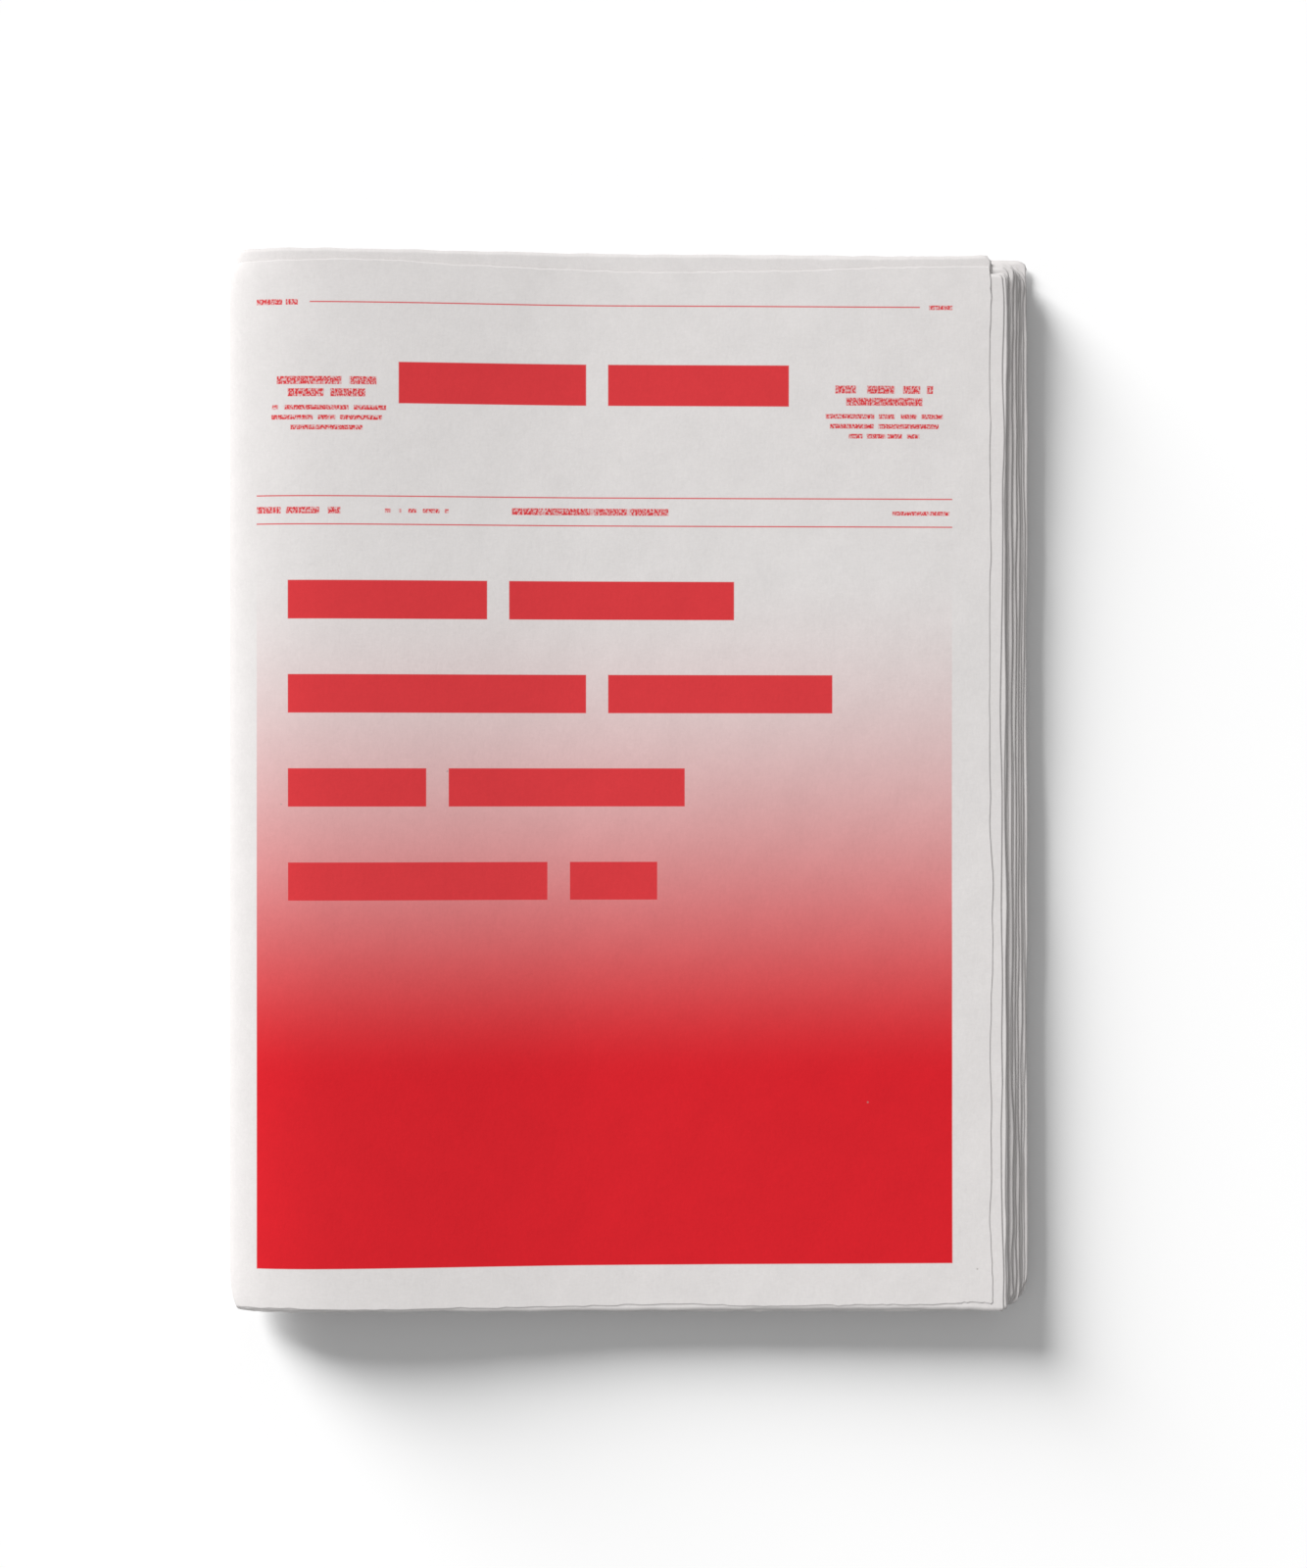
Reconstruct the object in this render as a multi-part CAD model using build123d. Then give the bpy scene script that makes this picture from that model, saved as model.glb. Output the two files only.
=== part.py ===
from build123d import *
import os
from math import atan, atan2, copysign, degrees, pi, sin

# A tabloid newspaper: loose sheets, each folded once down its middle and nested
# inside the next one out, so that the folds make a rounded spine and the cut
# edges make the fore-edge. Nothing binds the sheets, and each is its own piece.
#
# The paper lies on its back page. +Y runs up the page to the head, +X from the
# spine to the fore-edge, +Z up through the stack. While it is drawn, the spine
# of the outermost sheet is at x = 0. The finished stack is then moved so that
# the middle of the underside of its box is the origin.

# ---------------------------------------------------------------- the paper, mm
PAGE_WIDTH = 285.0        # fold to cut edge, measured along the paper
PAGE_HEIGHT = 380.0       # head to foot
CALIPER = 0.07            # thickness of one leaf of newsprint
SHEETS = 24               # a sheet is two leaves, so this is 96 pages

# ------------------------------------------------- section of the folded stack, mm
CREST_HEIGHT = 17.0       # top of the stack over the crest, where the fold springs
FLAT_HEIGHT = 12.0        # top of the stack where the leaves lie flat
BACK_PITCH = 0.22         # from one back leaf to the next where they lie flat
FOLD_LEVEL = 8.4          # height of every fold above the table
HEART_GAP = 0.45          # half the opening left inside the innermost fold
FOLD_REACH = 35.0         # outermost fold to the crest
FOLD_STEP = 0.29          # from each fold to the next one in
NOSE_OUTER = 3.6          # bend radius at the outermost fold
NOSE_INNER = 0.2          # bend radius at the innermost fold, nearly a crease
SETTLE_RUN = 100.0        # length over which the leaves settle from crest to flat

# ------------------------------------------------ how the sheets lie in the stack, mm
COVER_OFF_CENTRE = 4.7    # the cover's front page is this much short of half its sheet
STRAY_OFF_CENTRE = 7.0    # the same for the stray sheets
OFF_CENTRE_SPREAD = 0.5   # how far the other folds are off centre, either way
FOOT_SHEETS = range(1, 5)  # sheets that have slipped to the foot, counted from 0 outside
FOOT_SLIP = 2.5
STRAY_SHEETS = range(5, 7)  # sheets that have slipped to the head
HEAD_SLIP = 3.6
SLIP_SPREAD = 0.8         # how far the other sheets have slipped, either way
CORNER_OUTER = 0.8        # rounding of the cover's fore-edge corners
CORNER_INNER = 7.0        # rounding of the innermost sheet's corners


def between(outer, inner, sheet):
    """Value for one sheet, spread evenly from the outermost to the innermost."""
    return outer + (inner - outer) * sheet / (SHEETS - 1)


def leaf_bends(reach, rise, nose, settle):
    """Radius and turn, in radians, of each bend from the fold to the flat leaf.

    The first two bends share a tangent and take the leaf round the fold: a tight
    nose, then a wide shoulder that ends level at the crest, reach along and rise
    away from the fold. The last two are equal and opposite, and move the leaf by
    settle over SETTLE_RUN. A turn or a move towards the inside is positive.
    """
    shoulder = ((reach - nose) ** 2 + rise**2 - nose**2) / (2 * (rise - nose))
    nose_turn = atan2(shoulder - rise, reach - nose)
    bends = [(nose, nose_turn), (shoulder, pi / 2 - nose_turn)]
    if settle:
        turn = 2 * atan(settle / SETTLE_RUN)
        bends += [(SETTLE_RUN / (2 * sin(abs(turn))), side * turn) for side in (1, -1)]
    return bends


def leaf_line(fold, way, bends, end, depth):
    """One face of a leaf, from its fold to its cut edge.

    way is 1 for a front leaf, which leaves the fold upwards, and -1 for a back
    leaf. depth is 0 on the outside of the paper and CALIPER on the inside.
    """
    edges = []
    point = Vector(fold.X + depth, fold.Y)
    heading = Vector(0, way)
    for radius, turn in bends:
        bend = JernArc(point, heading, radius - copysign(depth, turn), -way * degrees(turn))
        edges.append(bend)
        point, heading = bend @ 1, bend % 1
    edges.append(Line(point, (end, point.Y)))
    return edges


def off_centre(sheet):
    """How much shorter the front leaf is than half the sheet."""
    if sheet == 0:
        return COVER_OFF_CENTRE
    if sheet in STRAY_SHEETS:
        return STRAY_OFF_CENTRE
    return OFF_CENTRE_SPREAD * sin(2.1 * sheet)


def slip(sheet):
    """How far the sheet has slid along its fold, towards the head."""
    if sheet == 0:
        return 0
    if sheet in FOOT_SHEETS:
        return -FOOT_SLIP
    if sheet in STRAY_SHEETS:
        return HEAD_SLIP
    return SLIP_SPREAD * sin(1.7 * sheet)


def folded_sheet(sheet):
    """One sheet, folded once, in its place among the others."""
    fold = Vector(FOLD_STEP * sheet, FOLD_LEVEL)
    reach = FOLD_REACH - fold.X
    nose = between(NOSE_OUTER, NOSE_INNER, sheet)

    front_crest_pitch = (CREST_HEIGHT - FOLD_LEVEL - HEART_GAP) / SHEETS
    back_crest_pitch = (FOLD_LEVEL - HEART_GAP) / SHEETS
    front_pitch = FLAT_HEIGHT / SHEETS - BACK_PITCH
    front_rise = CREST_HEIGHT - FOLD_LEVEL - sheet * front_crest_pitch
    front_settle = CREST_HEIGHT - FLAT_HEIGHT - sheet * (front_crest_pitch - front_pitch)
    back_rise = FOLD_LEVEL - sheet * back_crest_pitch
    back_settle = -sheet * (back_crest_pitch - BACK_PITCH)

    outline = []
    for way, rise, settle in ((1, front_rise, front_settle), (-1, back_rise, back_settle)):
        bends = leaf_bends(reach, rise, nose, settle)
        curled = sum(radius * abs(turn) for radius, turn in bends)
        level_from = FOLD_REACH + (SETTLE_RUN if settle else 0)
        end = level_from + PAGE_WIDTH - way * off_centre(sheet) - curled
        outer = leaf_line(fold, way, bends, end, 0)
        inner = leaf_line(fold, way, bends, end, CALIPER)
        outline += outer + inner + [Line(outer[-1] @ 1, inner[-1] @ 1)]

    section = Plane.XZ * Face(Wire(outline))
    paper = extrude(section, PAGE_HEIGHT / 2, both=True)
    paper = fillet(paper.edges().filter_by(Axis.Z), between(CORNER_OUTER, CORNER_INNER, sheet))
    return Pos(0, slip(sheet), 0) * paper


def node_name(sheet):
    """sheet_01_outer, sheet_02 and so on to sheet_24_centre."""
    place = {0: "_outer", SHEETS - 1: "_centre"}.get(sheet, "")
    return f"sheet_{sheet + 1:02d}{place}"


def main():
    os.makedirs("parts", exist_ok=True)
    sheets = {node_name(sheet): folded_sheet(sheet) for sheet in range(SHEETS)}
    box = Compound(children=[paper.solid() for paper in sheets.values()]).bounding_box()
    to_origin = Pos(-box.center().X, -box.center().Y, -box.min.Z)
    for name, paper in sheets.items():
        export_step(to_origin * paper.solid(), f"parts/{name}.step")
    print(f"newspaper {box.size.X:.2f} x {box.size.Y:.2f} x {box.size.Z:.2f} mm, {SHEETS} sheets")


main()
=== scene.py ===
# %% [markdown]
# # A folded tabloid newspaper, built sheet by sheet
# A newspaper has no binding. It is a nest of loose sheets, each folded once, so a good model is
# a nest of loose sheets too: 24 thin closed meshes. They lie clear of each other on the pages and
# at the cut edges. At the worn ends of the folds some still cross, by up to a millimetre.
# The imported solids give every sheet's place, and this lesson adds what paper does for itself:
# uneven gaps, lifted edges, worn corners, ragged cuts, and print.

# %% Load the frame
import bpy
import numpy as np
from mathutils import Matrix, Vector


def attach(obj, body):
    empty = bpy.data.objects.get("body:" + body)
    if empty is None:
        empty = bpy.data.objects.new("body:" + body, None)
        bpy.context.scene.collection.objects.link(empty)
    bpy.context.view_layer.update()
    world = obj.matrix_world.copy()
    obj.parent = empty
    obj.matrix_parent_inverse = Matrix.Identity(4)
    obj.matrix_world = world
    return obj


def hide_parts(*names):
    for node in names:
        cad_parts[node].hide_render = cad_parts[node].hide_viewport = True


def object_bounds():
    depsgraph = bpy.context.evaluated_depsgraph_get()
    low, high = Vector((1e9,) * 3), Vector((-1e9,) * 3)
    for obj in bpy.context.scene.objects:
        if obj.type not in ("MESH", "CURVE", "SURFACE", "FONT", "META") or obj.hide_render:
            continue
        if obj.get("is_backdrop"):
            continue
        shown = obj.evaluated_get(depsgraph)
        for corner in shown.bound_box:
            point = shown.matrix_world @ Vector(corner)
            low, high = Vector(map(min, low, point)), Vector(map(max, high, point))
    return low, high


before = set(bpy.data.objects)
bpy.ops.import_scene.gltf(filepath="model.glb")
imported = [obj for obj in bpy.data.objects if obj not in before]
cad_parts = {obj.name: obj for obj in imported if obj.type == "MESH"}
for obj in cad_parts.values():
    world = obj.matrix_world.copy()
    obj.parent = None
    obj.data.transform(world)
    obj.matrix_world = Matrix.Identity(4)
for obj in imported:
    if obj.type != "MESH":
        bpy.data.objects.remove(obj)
CAD_LOW, CAD_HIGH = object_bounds()
MM = 0.001
SHEET_NAMES = sorted(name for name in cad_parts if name.startswith("sheet_"))
print(len(SHEET_NAMES), "sheets in a box of", [round(s / MM, 1) for s in CAD_HIGH - CAD_LOW], "mm")

# %% [markdown]
# Each sheet's solid is read for a few facts: where it is folded, how high it stands at the crest
# beside the fold and where it lies flat, and where its two leaves end. Everything below is
# worked out in millimetres from these, and turned into metres when a mesh is made.

# %% Read where each sheet lies
SETTLE_RUN = 100.0        # the leaves sink from the crest to flat over this length
SAME_PLACE = 0.02         # points closer than this are at one place


def read_sheet(name):
    """Place of a sheet's middle surface, in millimetres."""
    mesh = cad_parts[name].data
    points = np.empty(len(mesh.vertices) * 3, np.float32)
    mesh.vertices.foreach_get("co", points)
    x, y, z = points.reshape(-1, 3).astype(float).T / MM
    fold_z = z[x < x.min() + SAME_PLACE].mean()
    crest_x = x[z > z.max() - SAME_PLACE / 10].min()
    facts = {"fold_x": x.min(), "fold_z": fold_z, "crest_x": crest_x,
             "middle_y": (y.max() + y.min()) / 2, "height": y.max() - y.min()}
    far = x > crest_x + 1.2 * SETTLE_RUN      # past the settling, the leaves are in two clear stacks
    middle_z = (z[far].max() + z[far].min()) / 2
    at_crest = abs(x - crest_x) < SAME_PLACE
    for leaf, on_leaf in (("front", far & (z > middle_z)), ("back", far & (z < middle_z))):
        end = x[on_leaf].max()
        at_end = on_leaf & (x > end - SAME_PLACE)
        leaf_crest = at_crest & ((z > fold_z) if leaf == "front" else (z < fold_z))
        facts[leaf] = {"end": end, "flat": z[at_end].mean(), "crest": z[leaf_crest].mean(),
                       "corner": y.max() - y[at_end].max()}
    return facts


SHEETS = [read_sheet(name) for name in SHEET_NAMES]
CREST_X = SHEETS[0]["crest_x"]
PAGE_HEIGHT = SHEETS[0]["height"]
LEAVES = [s["back"] for s in SHEETS] + [s["front"] for s in reversed(SHEETS)]
CREST_LEVELS = np.array([leaf["crest"] for leaf in LEAVES])
FLAT_LEVELS = np.array([leaf["flat"] for leaf in LEAVES])
print("flat leaves rise from", FLAT_LEVELS[0].round(3), "to", FLAT_LEVELS[-1].round(2), "mm")

# %% [markdown]
# Loose paper is never evenly spaced. Leaves cling in bunches with wider gaps between, and the
# gaps open and close along the page. If every leaf had its own random bumps they would cross.
# So the gaps are varied instead, each always wider than the paper, and a leaf's height is the
# sum of the gaps under it. Leaves made this way stay in order. The rule covers the leaves from
# the crest to the cut edge. It doesn't cover the folds, which are placed in the next step.

# %% Vary the gaps between leaves
CALIPER = 0.07            # thickness of newsprint
TIGHTEST = 0.1            # smallest step from one leaf's middle to the next
GAPS = len(LEAVES) - 1
chance = np.random.default_rng(11)
BUNCHING = np.exp(0.75 * chance.standard_normal(GAPS))
WAVE_X, WAVE_Y = chance.uniform(0.008, 0.03, (2, GAPS))
PHASE = chance.uniform(0, 2 * np.pi, GAPS)
COVER_GAP = GAPS - 1      # between the cover and the sheet under it
SECOND_GAP = GAPS - 5     # under the group of sheets that slipped to the foot
COVER_LIFT = 3.5          # how much wider the cover's gap grows at the fore-edge
SECOND_LIFT = 4.0         # the same for the second gap


def smooth_step(value):
    value = np.clip(value, 0, 1)
    return value * value * (3 - 2 * value)


def towards_edge(x, reach):
    """0 over most of the page, rising to 1 at the fore-edge."""
    return smooth_step((x - (CAD_HIGH.x / MM - reach)) / reach)


def looseness(x, y):
    """How open each gap is compared with the others, one row for each gap."""
    gaps = np.empty((GAPS, *x.shape))
    for gap in range(GAPS):
        wave = np.cos(WAVE_X[gap] * x + PHASE[gap]) * np.cos(WAVE_Y[gap] * y + 2 * PHASE[gap])
        gaps[gap] = BUNCHING[gap] * np.exp(0.6 * wave)
    lift = 0.55 + 0.45 * np.cos(0.041 * y + 0.8) * np.cos(0.013 * y)
    gaps[COVER_GAP] = 0.4 + COVER_LIFT * towards_edge(x, 22) * lift
    gaps[SECOND_GAP] = 1.0 + SECOND_LIFT * towards_edge(x, 40) * (1.3 - lift)
    return gaps


def relief(x, y):
    """Height of the pile compared with the plain one: soft hills, and fuller corners."""
    hills = 0.016 * np.cos(0.052 * x + 0.021 * y) + 0.012 * np.cos(0.047 * y - 0.033 * x + 1.0)
    ripple = 0.004 * np.cos(0.16 * y + 0.07 * x + 2.0) + 0.003 * np.cos(0.21 * x - 0.12 * y)
    along = np.abs(y) / (PAGE_HEIGHT / 2)
    edge = towards_edge(x, 120)
    return 1 + hills + ripple + edge * (0.17 * smooth_step(along) - 0.10)


def leaf_height(leaf, x, y):
    """Height of a leaf's middle surface above the table, away from the fold."""
    steps = np.diff(FLAT_LEVELS)[:, None, None]
    loose = looseness(x, y) * (steps - TIGHTEST)
    loose *= np.sum(steps - TIGHTEST) / loose.sum(axis=0)
    height = ((TIGHTEST + loose)[:leaf].sum(axis=0)) * relief(x, y)
    settled = smooth_step((x - CREST_X) / SETTLE_RUN)
    lowest = FLAT_LEVELS[0]
    return lowest + (CREST_LEVELS[leaf] - lowest) * (1 - settled) + height * settled


print(GAPS, "gaps, the loosest", (BUNCHING.max() / BUNCHING.min()).round(1), "times the tightest")

# %% [markdown]
# A sheet is one grid of points: columns run from the front leaf's cut edge, round the fold, to
# the back leaf's cut edge, and rows run from foot to head. Columns crowd towards the cut edges,
# where the ragged cut and the worn corners need them. The fold is half of a flat ellipse.
# Handling wears the fold back at head and foot. The wear is counted from each sheet's own end,
# so a sheet that has slipped meets its neighbour's worn fold there, and the two cross. Counting
# it from one place on the pile for all sheets would keep them apart.

# %% Lay out one sheet's grid
FOLD_COLUMNS = 12         # in each quarter of the fold
SPINE_WEAR = 2.2          # how far the fold is worn back at head and foot
WEAR_FADE = 4.0           # the wear fades over about this length from the end
COVER_DIP = 3.2           # how far the outer sheets' head edge sags at mid width


def crowded(count, power):
    """Shares from 0 to 1 that crowd towards 1."""
    return 1 - (1 - np.linspace(0, 1, count)) ** power


def ragged(rng, count, size, smoothness):
    """A wandering line: noise, with each point averaged with its neighbours."""
    noise = rng.standard_normal(count + 2 * smoothness)
    kernel = np.hanning(2 * smoothness + 1)
    line = np.convolve(noise, kernel / np.sqrt((kernel**2).sum()), "valid")
    return size * line


def sheet_grid(index, leaf_columns, half_rows):
    """Points of a sheet's middle surface and their places on the flat sheet, in millimetres."""
    sheet = SHEETS[index]
    rng = np.random.default_rng(100 + index)
    half = crowded(half_rows, 1.5)
    up = np.concatenate([-half[::-1], half[1:]])
    out = crowded(leaf_columns, 1.6)
    turn = np.linspace(np.pi / 2, -np.pi / 2, 2 * FOLD_COLUMNS + 1)
    columns = 2 * leaf_columns + len(turn) - 2
    rows = len(up)
    fore = {leaf: ragged(rng, rows, 0.16, 2) + ragged(rng, rows, 0.3, 9)
            for leaf in ("front", "back")}

    # The ends of each column: the cut at head and foot, and the worn corner near the fore-edge.
    front_length = sheet["front"]["end"] - CREST_X
    back_length = sheet["back"]["end"] - CREST_X
    reach = np.concatenate([out[::-1] * front_length, np.zeros(len(turn) - 2), out * back_length])
    ends = np.concatenate([np.full(leaf_columns, front_length), np.full(len(turn) - 2, 1e3),
                           np.full(leaf_columns, back_length)])
    corner = max(sheet["front"]["corner"], sheet["back"]["corner"], 0.5) * rng.uniform(0.8, 1.3, 2)
    into = np.clip(corner[:, None] - (ends - reach), 0, None)
    worn = corner[:, None] - np.sqrt(np.clip(corner[:, None] ** 2 - into**2, 0, None))
    worn += (worn > 0.3) * ragged(rng, columns, 0.25, 1)
    cut = [ragged(rng, columns, 0.13, 1) + ragged(rng, columns, 0.32, 12)
           for end in ("foot", "head")]
    skew = rng.uniform(-0.0015, 0.0015) if index > 4 else -0.008 * (index > 0)

    dip = COVER_DIP * np.exp(-((reach - 125) / 75) ** 2) * (index < 5)
    y = np.empty((columns, rows))
    for end, side in enumerate((-1, 1)):
        length = sheet["height"] / 2 - worn[end] + cut[end] - dip * (side > 0)
        part = up <= 0 if side < 0 else up >= 0
        y[:, part] = length[:, None] * up[part][None, :]
    y += sheet["middle_y"] + skew * (reach[:, None] - ends.min())
    x, z = np.empty_like(y), np.empty_like(y)

    near_end = 1 - np.abs(up)
    wear = SPINE_WEAR * np.exp(-near_end * PAGE_HEIGHT / 2 / WEAR_FADE)
    fold_x = sheet["fold_x"] + CALIPER / 2 + wear * (1 - index / len(SHEETS))
    on_fold = slice(leaf_columns - 1, leaf_columns - 1 + len(turn))
    x[on_fold] = CREST_X - np.cos(turn)[:, None] * (CREST_X - fold_x)[None, :]
    front_rise = sheet["front"]["crest"] - sheet["fold_z"]
    back_rise = sheet["fold_z"] - sheet["back"]["crest"]
    rise = np.where(turn > 0, front_rise, back_rise)
    z[on_fold] = sheet["fold_z"] + (rise * np.sin(turn))[:, None]

    for leaf, place, share in (("front", slice(0, leaf_columns), out[::-1]),
                               ("back", slice(columns - leaf_columns, columns), out)):
        end = sheet[leaf]["end"] + fore[leaf]
        x[place] = CREST_X + share[:, None] * (end - CREST_X)[None, :]
        level = len(LEAVES) - 1 - index if leaf == "front" else index
        z[place] = leaf_height(level, x[place], y[place])

    middle = rows // 2
    walk = np.hypot(np.diff(x[:, middle]), np.diff(z[:, middle]))
    across = np.concatenate([[0], np.cumsum(walk)])
    across = across[leaf_columns - 1 + FOLD_COLUMNS] - across
    flat_u = across[:, None] + (x - x[:, middle:middle + 1]) * np.sign(across)[:, None]
    flat_v = y - sheet["middle_y"] + PAGE_HEIGHT / 2
    return np.stack([x, y, z], axis=2), np.stack([flat_u, flat_v], axis=2)


COVER_GRID = (108, 62)    # columns in a leaf, rows in half its height
cover_points, cover_flat = sheet_grid(0, *COVER_GRID)
print("cover grid", cover_points.shape[:2], "flat width", np.ptp(cover_flat[..., 0]).round(1), "mm")

# %% [markdown]
# A single surface has no thickness and no cut edge to catch the light. So the grid is doubled:
# half the paper's thickness out, half in, with a rim of faces that closes it. The rim is shaded
# flat, which keeps the page's smooth shading from bending at its border. The flat places go
# into a UV map in metres, so that print can be laid out on the page as it is on a press.

# %% Turn a grid into a closed sheet of paper
def close_sheet(name, points, flat, materials):
    """A thin closed mesh from a grid. Its outside takes the first material, the rest the last."""
    columns, rows = points.shape[:2]
    along, up = np.gradient(points, axis=0), np.gradient(points, axis=1)
    outward = np.cross(up, along)
    outward /= np.linalg.norm(outward, axis=2, keepdims=True)
    both = np.concatenate([points + outward * CALIPER / 2, points - outward * CALIPER / 2])
    number = np.arange(2 * columns * rows).reshape(2, columns, rows)

    def quads(grid):
        corners = [grid[:-1, :-1], grid[:-1, 1:], grid[1:, 1:], grid[1:, :-1]]
        return np.stack(corners, -1).reshape(-1, 4)

    outside, inside = quads(number[0]), quads(number[1])[:, ::-1]
    walls = []
    for line, flip in ((number[:, 0, :], 1), (number[:, -1, :], -1),
                       (number[:, :, 0], -1), (number[:, :, -1], 1)):
        wall = np.stack([line[0, :-1], line[1, :-1], line[1, 1:], line[0, 1:]], -1)
        walls.append(wall[:, ::flip])
    faces = np.concatenate([outside, inside, *walls])

    mesh = bpy.data.meshes.new(name)
    mesh.from_pydata((both.reshape(-1, 3) * MM).tolist(), [], faces.tolist())
    smooth = np.arange(len(faces)) < 2 * len(outside)
    mesh.polygons.foreach_set("use_smooth", smooth)
    for material in materials:
        mesh.materials.append(material)
    slots = np.where(np.arange(len(faces)) < len(outside), 0, len(materials) - 1)
    mesh.polygons.foreach_set("material_index", slots.astype(np.int32))
    corners = np.empty(len(mesh.loops), np.int32)
    mesh.loops.foreach_get("vertex_index", corners)
    places = np.tile(flat.reshape(-1, 2) * MM, (2, 1))[corners]
    mesh.uv_layers.new(name="flat_sheet").data.foreach_set("uv", places.ravel().astype(np.float32))
    mesh.update()
    piece = bpy.data.objects.new(name, mesh)
    bpy.context.scene.collection.objects.link(piece)
    return piece


# %% [markdown]
# Newsprint is the cheapest paper there is: grey, soft, and full of short fibres and specks. The
# page and the inner sheets all need it, so it is one node group. It gives out a tone, which
# lightens and darkens the colour, a speck mask, and a height for the bump.

# %% A helper for writing node trees
def put(tree, kind, settings=None, **sockets):
    """Adds a node. A socket is named, or numbered as _0, and takes a value or another socket."""
    node = tree.nodes.new(kind)
    for name, value in (settings or {}).items():
        setattr(node, name, value)
    for key, value in sockets.items():
        socket = node.inputs[int(key[1:]) if key[0] == "_" else key.replace("_", " ")]
        if isinstance(value, bpy.types.NodeSocket):
            tree.links.new(value, socket)
        else:
            socket.default_value = value
    return node


def maths(tree, operation, *values):
    """The result of a sum on values or sockets."""
    sockets = {f"_{place}": value for place, value in enumerate(values)}
    return put(tree, "ShaderNodeMath", {"operation": operation}, **sockets).outputs[0]


def new_group(name, inputs, outputs):
    """An empty node group, its input node and its output node."""
    tree = bpy.data.node_groups.new(name, "ShaderNodeTree")
    for direction, sockets in (("INPUT", inputs), ("OUTPUT", outputs)):
        for label, kind in sockets.items():
            tree.interface.new_socket(label, in_out=direction, socket_type=f"NodeSocket{kind}")
    given = tree.nodes.new("NodeGroupInput").outputs
    result = tree.nodes.new("NodeGroupOutput").inputs
    return tree, given, result


# %% The newsprint group
newsprint, given, result = new_group(
    "newsprint", {"Place": "Vector", "Cloudiness": "Float", "Fibre": "Float", "Specks": "Float"},
    {"Tone": "Float", "Speck": "Float", "Height": "Float"})
clouds = put(newsprint, "ShaderNodeTexNoise", Vector=given["Place"], Scale=90.0, Detail=4.0,
             Roughness=0.6)
long_way = put(newsprint, "ShaderNodeMapping", Vector=given["Place"], Scale=(0.45, 1.0, 1.0),
               Rotation=(0.0, 0.0, 0.5))
cross_way = put(newsprint, "ShaderNodeMapping", Vector=given["Place"], Scale=(1.0, 0.4, 1.0),
                Rotation=(0.0, 0.0, 0.35))
fibres = [put(newsprint, "ShaderNodeTexNoise", Vector=way.outputs[0], Scale=scale, Detail=3.0,
              Roughness=0.65, Distortion=0.8).outputs["Fac"]
          for way, scale in ((long_way, 1300.0), (cross_way, 900.0))]
fibre = maths(newsprint, "SUBTRACT", maths(newsprint, "ADD", *fibres), 1.0)
cloud = maths(newsprint, "SUBTRACT", clouds.outputs["Fac"], 0.5)
tone = maths(newsprint, "ADD", maths(newsprint, "MULTIPLY", cloud, given["Cloudiness"]),
             maths(newsprint, "MULTIPLY", fibre, given["Fibre"]))
newsprint.links.new(maths(newsprint, "ADD", tone, 1.0), result["Tone"])
cells = put(newsprint, "ShaderNodeTexVoronoi", Vector=given["Place"], Scale=150.0)
dot = put(newsprint, "ShaderNodeMapRange", {"interpolation_type": "SMOOTHSTEP"},
          Value=cells.outputs["Distance"], _1=0.03, _2=0.075, _3=1.0, _4=0.0)
draw = put(newsprint, "ShaderNodeSeparateColor", Color=cells.outputs["Color"]).outputs[0]
picked = maths(newsprint, "GREATER_THAN", draw, maths(newsprint, "SUBTRACT", 1.0, given["Specks"]))
newsprint.links.new(maths(newsprint, "MULTIPLY", dot.outputs[0], picked), result["Speck"])
height = maths(newsprint, "ADD", maths(newsprint, "MULTIPLY", cloud, 3.0), fibre)
newsprint.links.new(height, result["Height"])
print("newsprint group has", len(newsprint.nodes), "nodes")

# %% [markdown]
# Print is laid out on the flat page in millimetres from the fold and from the head. A block of
# ink is a rectangle with a soft border, because ink creeps into newsprint. A line of small type
# is the same rectangle, broken into words and strokes by noise: bars stand in for the words,
# and nothing can be read.

# %% Groups for a block of ink and a line of small type
EDGES = {"Page": "Vector", "Left": "Float", "Right": "Float", "Top": "Float", "Bottom": "Float"}
ink_block, given, result = new_group("ink_block", {**EDGES, "Soft": "Float"}, {"Ink": "Float"})
split = put(ink_block, "ShaderNodeSeparateXYZ", Vector=given["Page"])
outside = []
for axis, low, high in ((0, "Left", "Right"), (1, "Top", "Bottom")):
    outside.append(maths(ink_block, "SUBTRACT", given[low], split.outputs[axis]))
    outside.append(maths(ink_block, "SUBTRACT", split.outputs[axis], given[high]))
furthest = maths(ink_block, "MAXIMUM", maths(ink_block, "MAXIMUM", outside[0], outside[1]),
                 maths(ink_block, "MAXIMUM", outside[2], outside[3]))
edge = put(ink_block, "ShaderNodeMapRange", {"interpolation_type": "SMOOTHSTEP"}, Value=furthest,
           _1=maths(ink_block, "MULTIPLY", given["Soft"], -1.0), _2=given["Soft"], _3=1.0, _4=0.0)
ink_block.links.new(edge.outputs[0], result["Ink"])

small_type, given, result = new_group("small_type", {**EDGES, "Word": "Float"}, {"Ink": "Float"})
block = put(small_type, "ShaderNodeGroup", {"node_tree": ink_block}, Soft=0.18,
            **{label: given[label] for label in EDGES})
split = put(small_type, "ShaderNodeSeparateXYZ", Vector=given["Page"])
row = maths(small_type, "MULTIPLY", given["Top"], 3.7)
word_place = put(small_type, "ShaderNodeCombineXYZ", Y=row,
                 X=maths(small_type, "DIVIDE", split.outputs[0], given["Word"]))
in_words = put(small_type, "ShaderNodeTexNoise", {"noise_dimensions": "2D"}, Scale=1.0, Detail=0.0,
               Vector=word_place.outputs[0])
stroke_place = put(small_type, "ShaderNodeCombineXYZ",
                   X=maths(small_type, "MULTIPLY", split.outputs[0], 1.6),
                   Y=maths(small_type, "ADD", row, split.outputs[1]))
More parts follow.
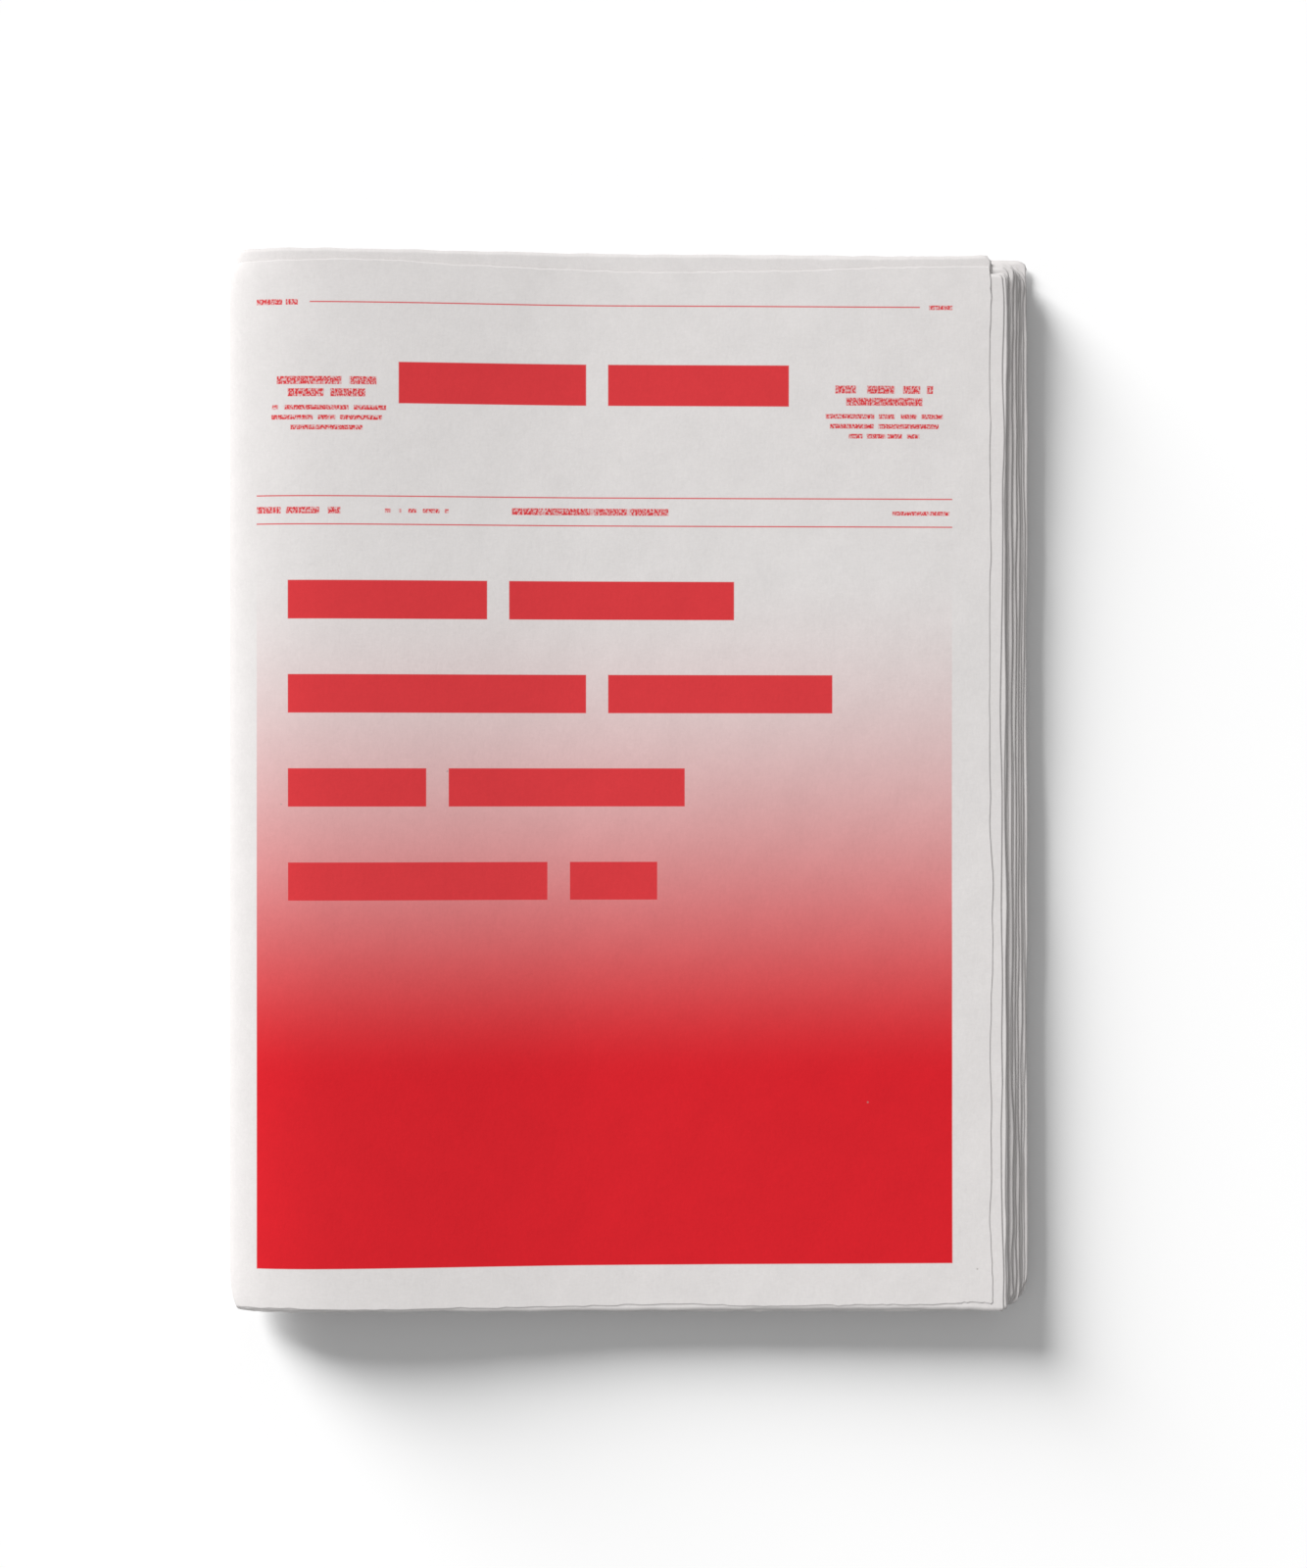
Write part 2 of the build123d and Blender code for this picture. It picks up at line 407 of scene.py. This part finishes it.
strokes = put(small_type, "ShaderNodeTexNoise", {"noise_dimensions": "2D"}, Scale=1.0, Detail=1.0,
              Vector=stroke_place.outputs[0])
word = put(small_type, "ShaderNodeMapRange", Value=in_words.outputs["Fac"], _1=0.3, _2=0.36)
stroke = put(small_type, "ShaderNodeMapRange", Value=strokes.outputs["Fac"], _1=0.3, _2=0.6, _3=0.25)
broken = maths(small_type, "MULTIPLY", word.outputs[0], stroke.outputs[0])
small_type.links.new(maths(small_type, "MULTIPLY", block.outputs[0], broken), result["Ink"])
print("print groups made:", ink_block.name, small_type.name)

# %% [markdown]
# The front page has two masthead bars between two blocks of small type, rules above and below
# the date line, and a big field that fades from bare paper to full red, with headline bars over
# it. Bars stand in for words everywhere. An entry gives left, right, top and bottom, from the
# fold and from the head, and a line of small type also gives the length of its words.

# %% Lay out the front page
MARGIN_LEFT, MARGIN_RIGHT = 12.5, 266.0
RULE = 0.2                # half the thickness of a rule
HEAD_RULE, DATE_RULE, LOWER_RULE = 15.5, 85.6, 95.8
FIELD_TOP, FIELD_FULL, FIELD_BOTTOM = 108.0, 298.0, 365.0
FIELD_FADE_FROM = FIELD_TOP - 5   # the field's own top edge is hidden where the ink is still bare
INK_CREEP = 0.22          # half the width of a printed edge
BLOCKS = [(64.0, 132.0, 37.0, 52.0), (140.0, 206.0, 37.0, 52.0)]
BLOCKS += [(MARGIN_LEFT, MARGIN_RIGHT, y - RULE, y + RULE) for y in (DATE_RULE, LOWER_RULE)]
BLOCKS += [(32.0, 254.0, HEAD_RULE - RULE, HEAD_RULE + RULE)]
HEADLINES = [(116.0, (24.0, 96.0), (104.0, 186.0)), (150.0, (24.0, 132.0), (140.0, 222.0)),
             (184.0, (24.0, 74.0), (82.0, 168.0)), (218.0, (24.0, 118.0), (126.0, 158.0))]
HEADLINE_HEIGHT = 14.0
BLOCKS += [(left, right, top, top + HEADLINE_HEIGHT)
           for top, *bars in HEADLINES for left, right in bars]
SMALL_TYPE = [(12.5, 29.0, 14.6, 16.6, 3.0), (257.0, 266.0, 14.8, 16.4, 3.0),
              (12.5, 43.0, 89.6, 92.0, 4.0), (59.0, 82.0, 90.1, 91.6, 3.0),
              (105.0, 162.0, 89.5, 92.0, 6.0), (244.0, 266.0, 90.1, 91.6, 3.0)]
NOTE_LINES = [(36, 0, 2.9, 6.0), (28, 4.4, 2.9, 6.0), (43, 10.4, 1.7, 4.0), (40, 14.0, 1.7, 4.0),
              (26, 17.6, 1.7, 4.0)]     # width, drop from the first line, height, word length
for middle, first in ((38.0, 42.4), (241.0, 44.2)):
    for width, drop, height, word_length in NOTE_LINES:
        top = first + drop
        SMALL_TYPE.append((middle - width / 2, middle + width / 2, top, top + height, word_length))
print(len(BLOCKS), "blocks of ink and", len(SMALL_TYPE), "lines of small type")

# %% [markdown]
# The plain newsprint material comes first, then the printed one, which is the same paper with
# red ink mixed over it. Ink soaks in, so the paper's tone shows through, and the surface stays
# matt. Colours and roughness that never vary are set straight on the shader's own sockets.

# %% Make the two materials
PAPER = (0.700, 0.675, 0.667, 1.0)
INK = (0.640, 0.012, 0.020, 1.0)
SPECK = (0.30, 0.27, 0.25, 1.0)
CLOUDINESS = 0.10         # how much the paper's tone drifts over a centimetre or two
FIBRE = 0.11              # how much it varies from fibre to fibre
SPECK_SHARE = 0.035       # share of cells with a speck in them


def paper_base(name):
    """A material, its node tree, its shader and the newsprint group in it."""
    material = bpy.data.materials.new(name)
    material.use_nodes = True
    tree = material.node_tree
    shader = tree.nodes["Principled BSDF"]
    shader.inputs["Roughness"].default_value = 0.92
    shader.inputs["Specular IOR Level"].default_value = 0.18
    here = put(tree, "ShaderNodeTexCoord")
    paper = put(tree, "ShaderNodeGroup", {"node_tree": newsprint}, Place=here.outputs["Object"],
                Cloudiness=CLOUDINESS, Fibre=FIBRE, Specks=SPECK_SHARE)
    bump = put(tree, "ShaderNodeBump", Strength=0.55, Distance=0.00006, Height=paper.outputs["Height"])
    tree.links.new(bump.outputs[0], shader.inputs["Normal"])
    return material, tree, shader, paper


def finish_colour(tree, shader, paper, colour):
    """Specks and tone over a colour, into the shader."""
    specked = put(tree, "ShaderNodeMix", {"data_type": "RGBA"}, _6=colour, _7=SPECK,
                  _0=maths(tree, "MULTIPLY", paper.outputs["Speck"], 0.55))
    toned = put(tree, "ShaderNodeVectorMath", {"operation": "SCALE"}, _0=specked.outputs[2],
                Scale=paper.outputs["Tone"])
    tree.links.new(toned.outputs[0], shader.inputs["Base Color"])


plain_paper, tree, shader, paper = paper_base("plain_newsprint")
finish_colour(tree, shader, paper, PAPER)

printed_paper, tree, shader, paper = paper_base("printed_newsprint")
flat_place = put(tree, "ShaderNodeUVMap", {"uv_map": "flat_sheet"})
page = put(tree, "ShaderNodeVectorMath", {"operation": "MULTIPLY_ADD"}, _0=flat_place.outputs[0],
           _1=(1 / MM, -1 / MM, 0.0), _2=(0.0, PAGE_HEIGHT, 0.0)).outputs[0]
ink = 0.0
for left, right, top, bottom in BLOCKS:
    block = put(tree, "ShaderNodeGroup", {"node_tree": ink_block}, Page=page, Left=left, Right=right,
                Top=top, Bottom=bottom, Soft=INK_CREEP)
    ink = maths(tree, "MAXIMUM", ink, block.outputs[0])
for left, right, top, bottom, word_length in SMALL_TYPE:
    line = put(tree, "ShaderNodeGroup", {"node_tree": small_type}, Page=page, Left=left, Right=right,
               Top=top, Bottom=bottom, Word=word_length)
    ink = maths(tree, "MAXIMUM", ink, line.outputs[0])
field = put(tree, "ShaderNodeGroup", {"node_tree": ink_block}, Page=page, Left=MARGIN_LEFT,
            Right=MARGIN_RIGHT, Top=FIELD_FADE_FROM, Bottom=FIELD_BOTTOM, Soft=INK_CREEP)
down_page = put(tree, "ShaderNodeSeparateXYZ", Vector=page).outputs[1]
down = put(tree, "ShaderNodeMapRange", {"interpolation_type": "SMOOTHSTEP"}, Value=down_page,
           _1=FIELD_TOP, _2=FIELD_FULL)
faded = maths(tree, "MULTIPLY", field.outputs[0], down.outputs[0])
cover_ink = maths(tree, "MAXIMUM", maths(tree, "MULTIPLY", ink, 0.96), faded)
inked = put(tree, "ShaderNodeMix", {"data_type": "RGBA"}, _0=cover_ink, _6=PAPER, _7=INK)
finish_colour(tree, shader, paper, inked.outputs[2])
print("materials made:", plain_paper.name, printed_paper.name)

# %% [markdown]
# Now the sheets themselves. The cover is seen whole, so it has the finest grid. Of the others
# only the borders show, and a coarser grid holds them. Each piece stands for its solid. The real
# sheet is cut to 570 by 380 mm. The flat width of a sheet here is the mesh's own length round
# the fold instead. Comparing the two can't catch a wrong width.

# %% Build the 24 sheets
INNER_GRID = (46, 27)
triangles = 0
pieces = []
for index, name in enumerate(SHEET_NAMES):
    if index == 0:
        points, flat, materials = cover_points, cover_flat, [printed_paper, plain_paper]
    else:
        points, flat = sheet_grid(index, *INNER_GRID)
        materials = [plain_paper]
    piece = close_sheet(name.replace("sheet", "paper"), points, flat, materials)
    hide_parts(name)
    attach(piece, "root")
    pieces.append(piece)
    triangles += 2 * len(piece.data.polygons)
print(len(SHEET_NAMES), "sheets,", triangles, "triangles")

# %% [markdown]
# A studio for paper: a broad soft light from the upper left shades the rounded spine, and a
# gentle fill comes from all round. A low pile throws only a short shadow under such a light, so
# the floor has a lower one of its own. Light linking gives each lamp its pieces.

# %% Floor, world and light
FLOOR_HALF = 3.0
floor_mesh = bpy.data.meshes.new("floor")
FLOOR_LEVEL = -0.0001             # just under the paper
CORNERS = ((-1, -1), (1, -1), (1, 1), (-1, 1))
floor_mesh.from_pydata([(x * FLOOR_HALF, y * FLOOR_HALF, FLOOR_LEVEL) for x, y in CORNERS],
                       [], [(0, 1, 2, 3)])
floor = bpy.data.objects.new("floor", floor_mesh)
bpy.context.scene.collection.objects.link(floor)
floor_paint = bpy.data.materials.new("floor_white")
floor_paint.use_nodes = True
tree = floor_paint.node_tree
tree.nodes.clear()
lit = put(tree, "ShaderNodeBsdfDiffuse", Color=(1.0, 1.0, 1.0, 1.0))
dull = put(tree, "ShaderNodeBsdfDiffuse", Color=(0.75, 0.75, 0.75, 1.0))
ray = put(tree, "ShaderNodeLightPath")
mixed = put(tree, "ShaderNodeMixShader", _0=ray.outputs["Is Camera Ray"], _1=dull.outputs[0],
            _2=lit.outputs[0])
put(tree, "ShaderNodeOutputMaterial", Surface=mixed.outputs[0])
floor_mesh.materials.append(floor_paint)
floor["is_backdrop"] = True

FILL = 0.34               # share of the plain level that comes from all round
WHITE_MARGIN = 1.01       # keeps the far floor fully white
world = bpy.data.worlds.new("studio")
world.use_nodes = True
bpy.context.scene.world = world
tree = world.node_tree
tree.nodes.clear()
ray = put(tree, "ShaderNodeLightPath")
seen = maths(tree, "MAXIMUM", ray.outputs["Is Camera Ray"],
             maths(tree, "MAXIMUM", ray.outputs["Is Glossy Ray"], ray.outputs["Is Transmission Ray"]))
strength = maths(tree, "ADD", FILL, maths(tree, "MULTIPLY", seen, 1 - FILL))
sky = put(tree, "ShaderNodeBackground", Color=(1.0, 1.0, 1.0, 1.0), Strength=strength)
put(tree, "ShaderNodeOutputWorld", Surface=sky.outputs[0])


def soft_sun(name, elevation, bearing, width, receivers):
    """A broad sun that brings flat white paper up to its plain level, on some pieces only."""
    tilt, turn = np.radians(elevation), np.radians(bearing)
    data = bpy.data.lights.new(name, "SUN")
    data.angle = np.radians(width)
    data.energy = WHITE_MARGIN * (1.0 - FILL) * np.pi / np.sin(tilt)
    lamp = bpy.data.objects.new(name, data)
    towards = Vector((np.cos(turn) * np.cos(tilt), np.sin(turn) * np.cos(tilt), np.sin(tilt)))
    lamp.rotation_mode = "QUATERNION"
    lamp.rotation_quaternion = towards.to_track_quat("Z", "Y")
    bpy.context.scene.collection.objects.link(lamp)
    lit_pieces = bpy.data.collections.new(name + "_lights")
    for piece in receivers:
        lit_pieces.objects.link(piece)
    lamp.light_linking.receiver_collection = lit_pieces
    print(name, "strength", round(data.energy, 2))


soft_sun("soft_key", elevation=35, bearing=141, width=42, receivers=pieces)
soft_sun("low_key", elevation=14.5, bearing=134, width=28, receivers=[floor])

# %% [markdown]
# The camera looks down at the page from almost straight above, a little towards the spine. Its
# lens is worked out from its height and the newspaper's own length.

# %% Camera
CAMERA_HEIGHT = 1.0
LEAN = np.radians(2.1)            # towards the spine
FRAME_LENGTHS = 1.478             # picture height, in lengths of the newspaper
length = CAD_HIGH.y - CAD_LOW.y
aim = Vector((0.0080, -0.0003, CAD_HIGH.z * 0.8))
camera_data = bpy.data.cameras.new("camera")
camera_data.sensor_width = 36.0
camera_data.lens = camera_data.sensor_width * CAMERA_HEIGHT / (FRAME_LENGTHS * length)
camera_data.clip_end = 20.0
camera = bpy.data.objects.new("camera", camera_data)
back = Vector((-np.sin(LEAN), 0.0, np.cos(LEAN)))
camera.location = aim + back * CAMERA_HEIGHT
camera.rotation_euler = (0.0, -LEAN, 0.0)
bpy.context.scene.collection.objects.link(camera)
bpy.context.scene.camera = camera
bpy.context.scene.view_settings.view_transform = "Standard"
print("lens", round(camera_data.lens, 1), "mm")

# %% Write the sizes and finish
low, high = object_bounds()
print("shown box", [round(s / MM, 1) for s in high - low], "mm")
